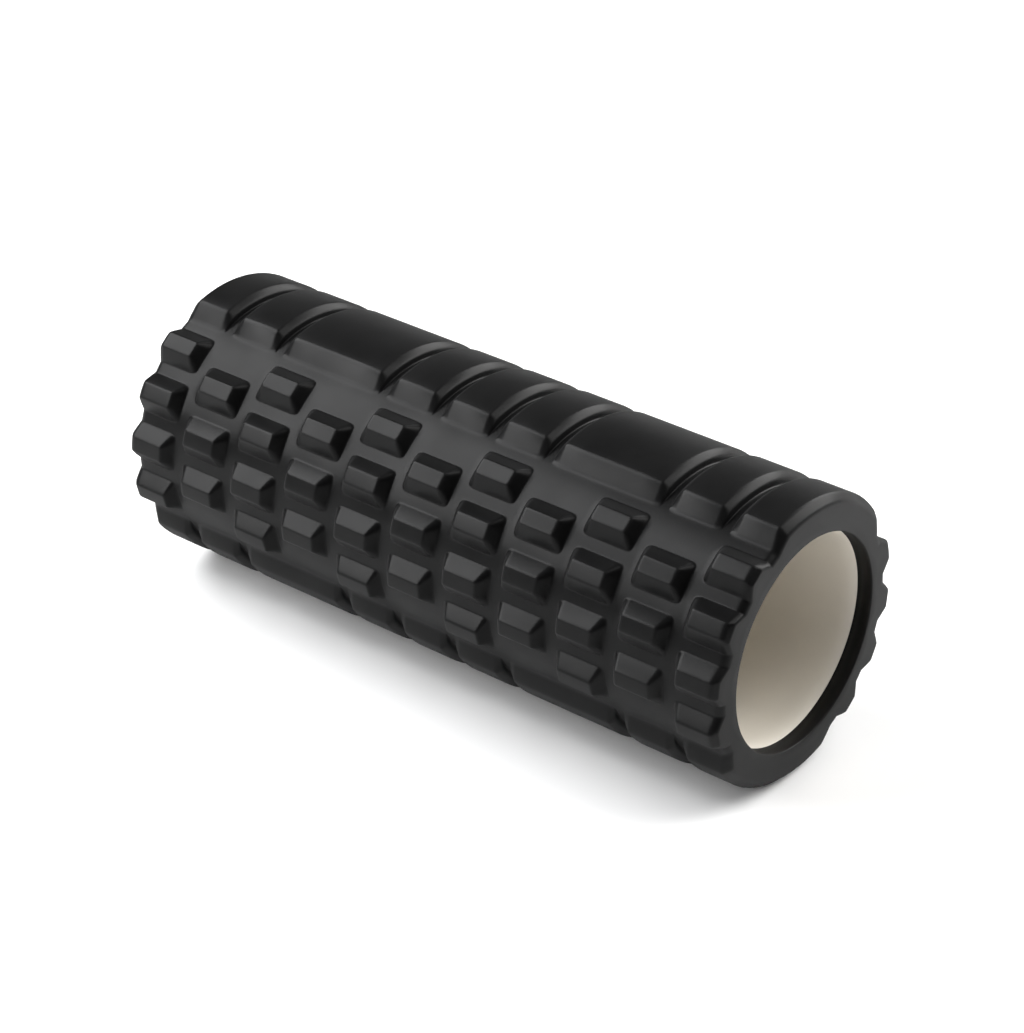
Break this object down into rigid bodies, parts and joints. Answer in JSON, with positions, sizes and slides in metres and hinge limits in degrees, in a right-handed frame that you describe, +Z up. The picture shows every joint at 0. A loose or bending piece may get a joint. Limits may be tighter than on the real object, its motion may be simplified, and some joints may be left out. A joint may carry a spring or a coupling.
{
  "type": "foam roller",
  "caption": "Cylindrical massage roller: a moulded foam sleeve with wide grooved pads and staggered small blocks, bonded round a rigid hollow core tube open at both ends.",
  "frame": {"origin": "on the floor under the middle of the roller, which lies on its tread", "axes": "+Y along the roller's axis, +Z up, +X across it; the roller turns about Y like a wheel"},
  "size_m": [0.132, 0.33, 0.132],
  "materials": {
    "foam": "satin moulded skin of closed-cell EVA foam, black",
    "core": "satin extruded plastic tube, warm light grey"
  },
  "bodies": {
    "root": {"foam_sleeve": "foam", "core_tube": "core"}
  },
  "joints": []
}
